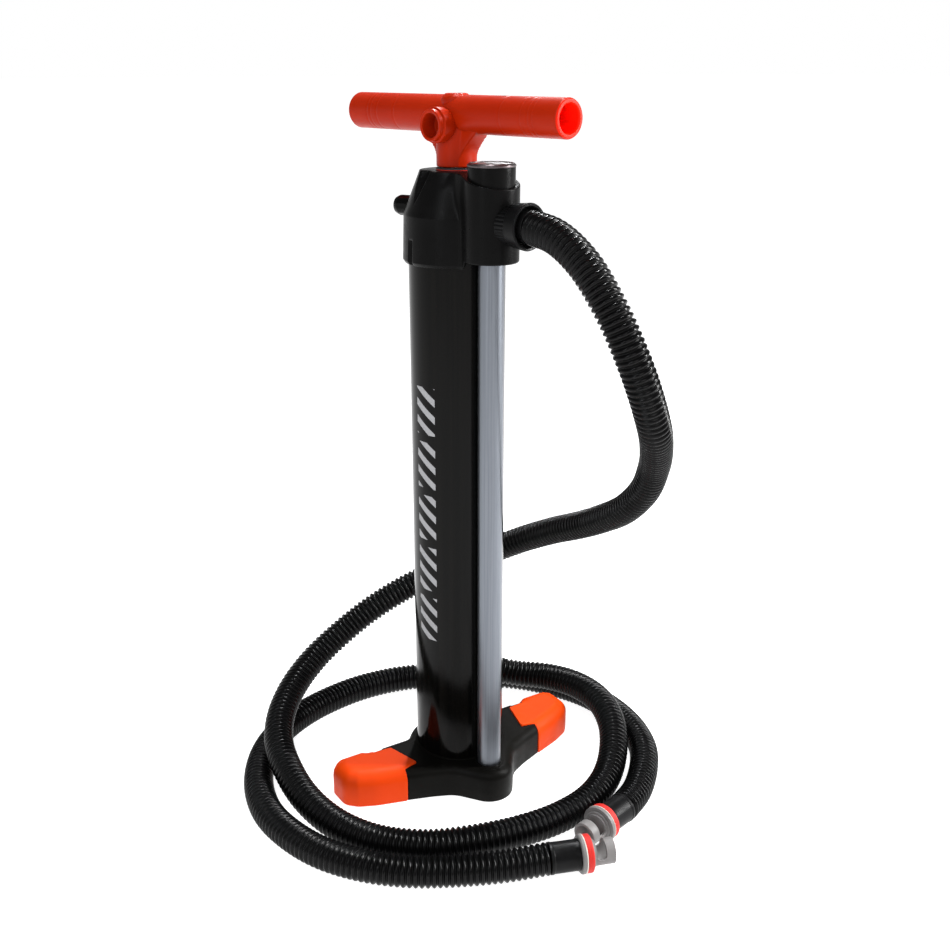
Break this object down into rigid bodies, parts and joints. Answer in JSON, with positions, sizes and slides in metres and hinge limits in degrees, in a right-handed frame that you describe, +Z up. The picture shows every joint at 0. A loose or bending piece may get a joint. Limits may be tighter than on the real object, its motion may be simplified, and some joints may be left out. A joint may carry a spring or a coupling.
{
  "type": "hand floor pump",
  "caption": "Tall hand-operated double-action air pump with a T handle, gauge on the head, winged base with foot pads, ribbed hose and a loose extension hose.",
  "frame": {"origin": "on the floor, under the barrel axis, which is the middle of the pump without its hoses", "axes": "+Z up along the barrel, -Y towards the air tube, gauge and hose port, X along the two foot wings"},
  "size_m": [0.394, 0.383, 0.6169],
  "materials": {
    "base_black": "moulded matt plastic",
    "pad_orange": "moulded soft-grip plastic",
    "barrel_black": "gloss",
    "satin_tube": "satin anodised",
    "head_black": "satin moulded plastic",
    "knob_black": "gloss",
    "handle_red": "satin moulded plastic",
    "seal_rubber": "matt",
    "valve_rubber": "matt silicone",
    "seal_red": "matt",
    "hose_black": "semi-gloss ribbed",
    "fitting_grey": "satin",
    "screw_steel": "zinc plated",
    "rod_aluminium": "polished",
    "movement_brass": "machined",
    "dial_white": "satin",
    "needle_red": "satin",
    "lens_clear": "clear",
    "bezel_silver": "bright",
    "bush_cream": "natural",
    "bush_red": "natural"
  },
  "bodies": {
    "pump_body": {"base": "base_black", "base_plate": "base_black", "base_gasket": "seal_rubber", "plate_screws": "screw_steel", "rubber_feet": "seal_rubber", "left_foot_pad": "pad_orange", "right_foot_pad": "pad_orange", "pad_screws": "screw_steel", "barrel": "barrel_black", "barrel_seals": "seal_rubber", "air_tube": "satin_tube", "tube_seals": "seal_rubber", "head": "head_black", "rod_bush": "bush_red", "rod_seal": "seal_rubber", "rod_wiper": "seal_rubber", "upper_intake_valve": "valve_rubber", "lower_intake_valve": "valve_rubber", "outlet_cage": "head_black", "gauge_body": "head_black", "gauge_movement": "movement_brass", "gauge_dial": "dial_white", "gauge_lens": "lens_clear", "gauge_bezel": "bezel_silver", "port_spigot": "head_black", "port_seal": "seal_rubber", "port_cuff": "hose_black", "main_hose": "hose_black", "main_end_cuff": "hose_black", "main_end_fitting": "fitting_grey", "main_end_seal": "seal_red", "extension_hose": "hose_black", "front_cuff": "hose_black", "front_fitting": "fitting_grey", "front_seal": "seal_red", "rear_cuff": "hose_black", "rear_fitting": "fitting_grey", "rear_seal": "seal_red"},
    "piston": {"piston_head": "bush_cream", "piston_seal": "seal_rubber", "guide_ring": "bush_cream"},
    "handle_and_rod": {"piston_rod": "rod_aluminium", "piston_nut": "screw_steel", "t_handle": "handle_red", "handle_bolt": "screw_steel", "handle_cap": "handle_red"},
    "needle": {"gauge_needle": "needle_red"},
    "mode_plug_body": {"mode_plug": "knob_black", "mode_plug_seal": "seal_rubber"},
    "hose_nut": {"swivel_nut": "head_black"},
    "barrel_valve": {"barrel_outlet_disc": "valve_rubber"},
    "tube_valve": {"tube_outlet_disc": "valve_rubber"}
  },
  "joints": [
    {"name": "pump_stroke", "type": "slide", "parent": "pump_body", "child": "piston", "axis": [0, 0, 1], "range_m": [0, 0.43]},
    {"name": "handle_turn", "type": "hinge", "parent": "piston", "child": "handle_and_rod", "pos_m": [0, 0, 0.035], "axis": [0, 0, 1], "continuous": true},
    {"name": "gauge_pointer", "type": "hinge", "parent": "pump_body", "child": "needle", "pos_m": [0, -0.0517, 0.56], "axis": [0, 0, 1], "range_deg": [-270, 0], "stiffness_Nm_per_rad": 0.00001},
    {"name": "mode_plug_turn", "type": "hinge", "parent": "pump_body", "child": "mode_plug_body", "pos_m": [0, 0, 0.528], "axis": [-0.5, 0.866, 0], "range_deg": [0, 90]},
    {"name": "nut_turn", "type": "hinge", "parent": "pump_body", "child": "hose_nut", "pos_m": [0, -0.0517, 0.522], "axis": [0.2079, -0.9781, 0], "continuous": true},
    {"name": "barrel_valve_lift", "type": "slide", "parent": "pump_body", "child": "barrel_valve", "axis": [0, 0, 1], "range_m": [0, 0.002]},
    {"name": "tube_valve_lift", "type": "slide", "parent": "pump_body", "child": "tube_valve", "axis": [0, 0, 1], "range_m": [0, 0.002]}
  ]
}
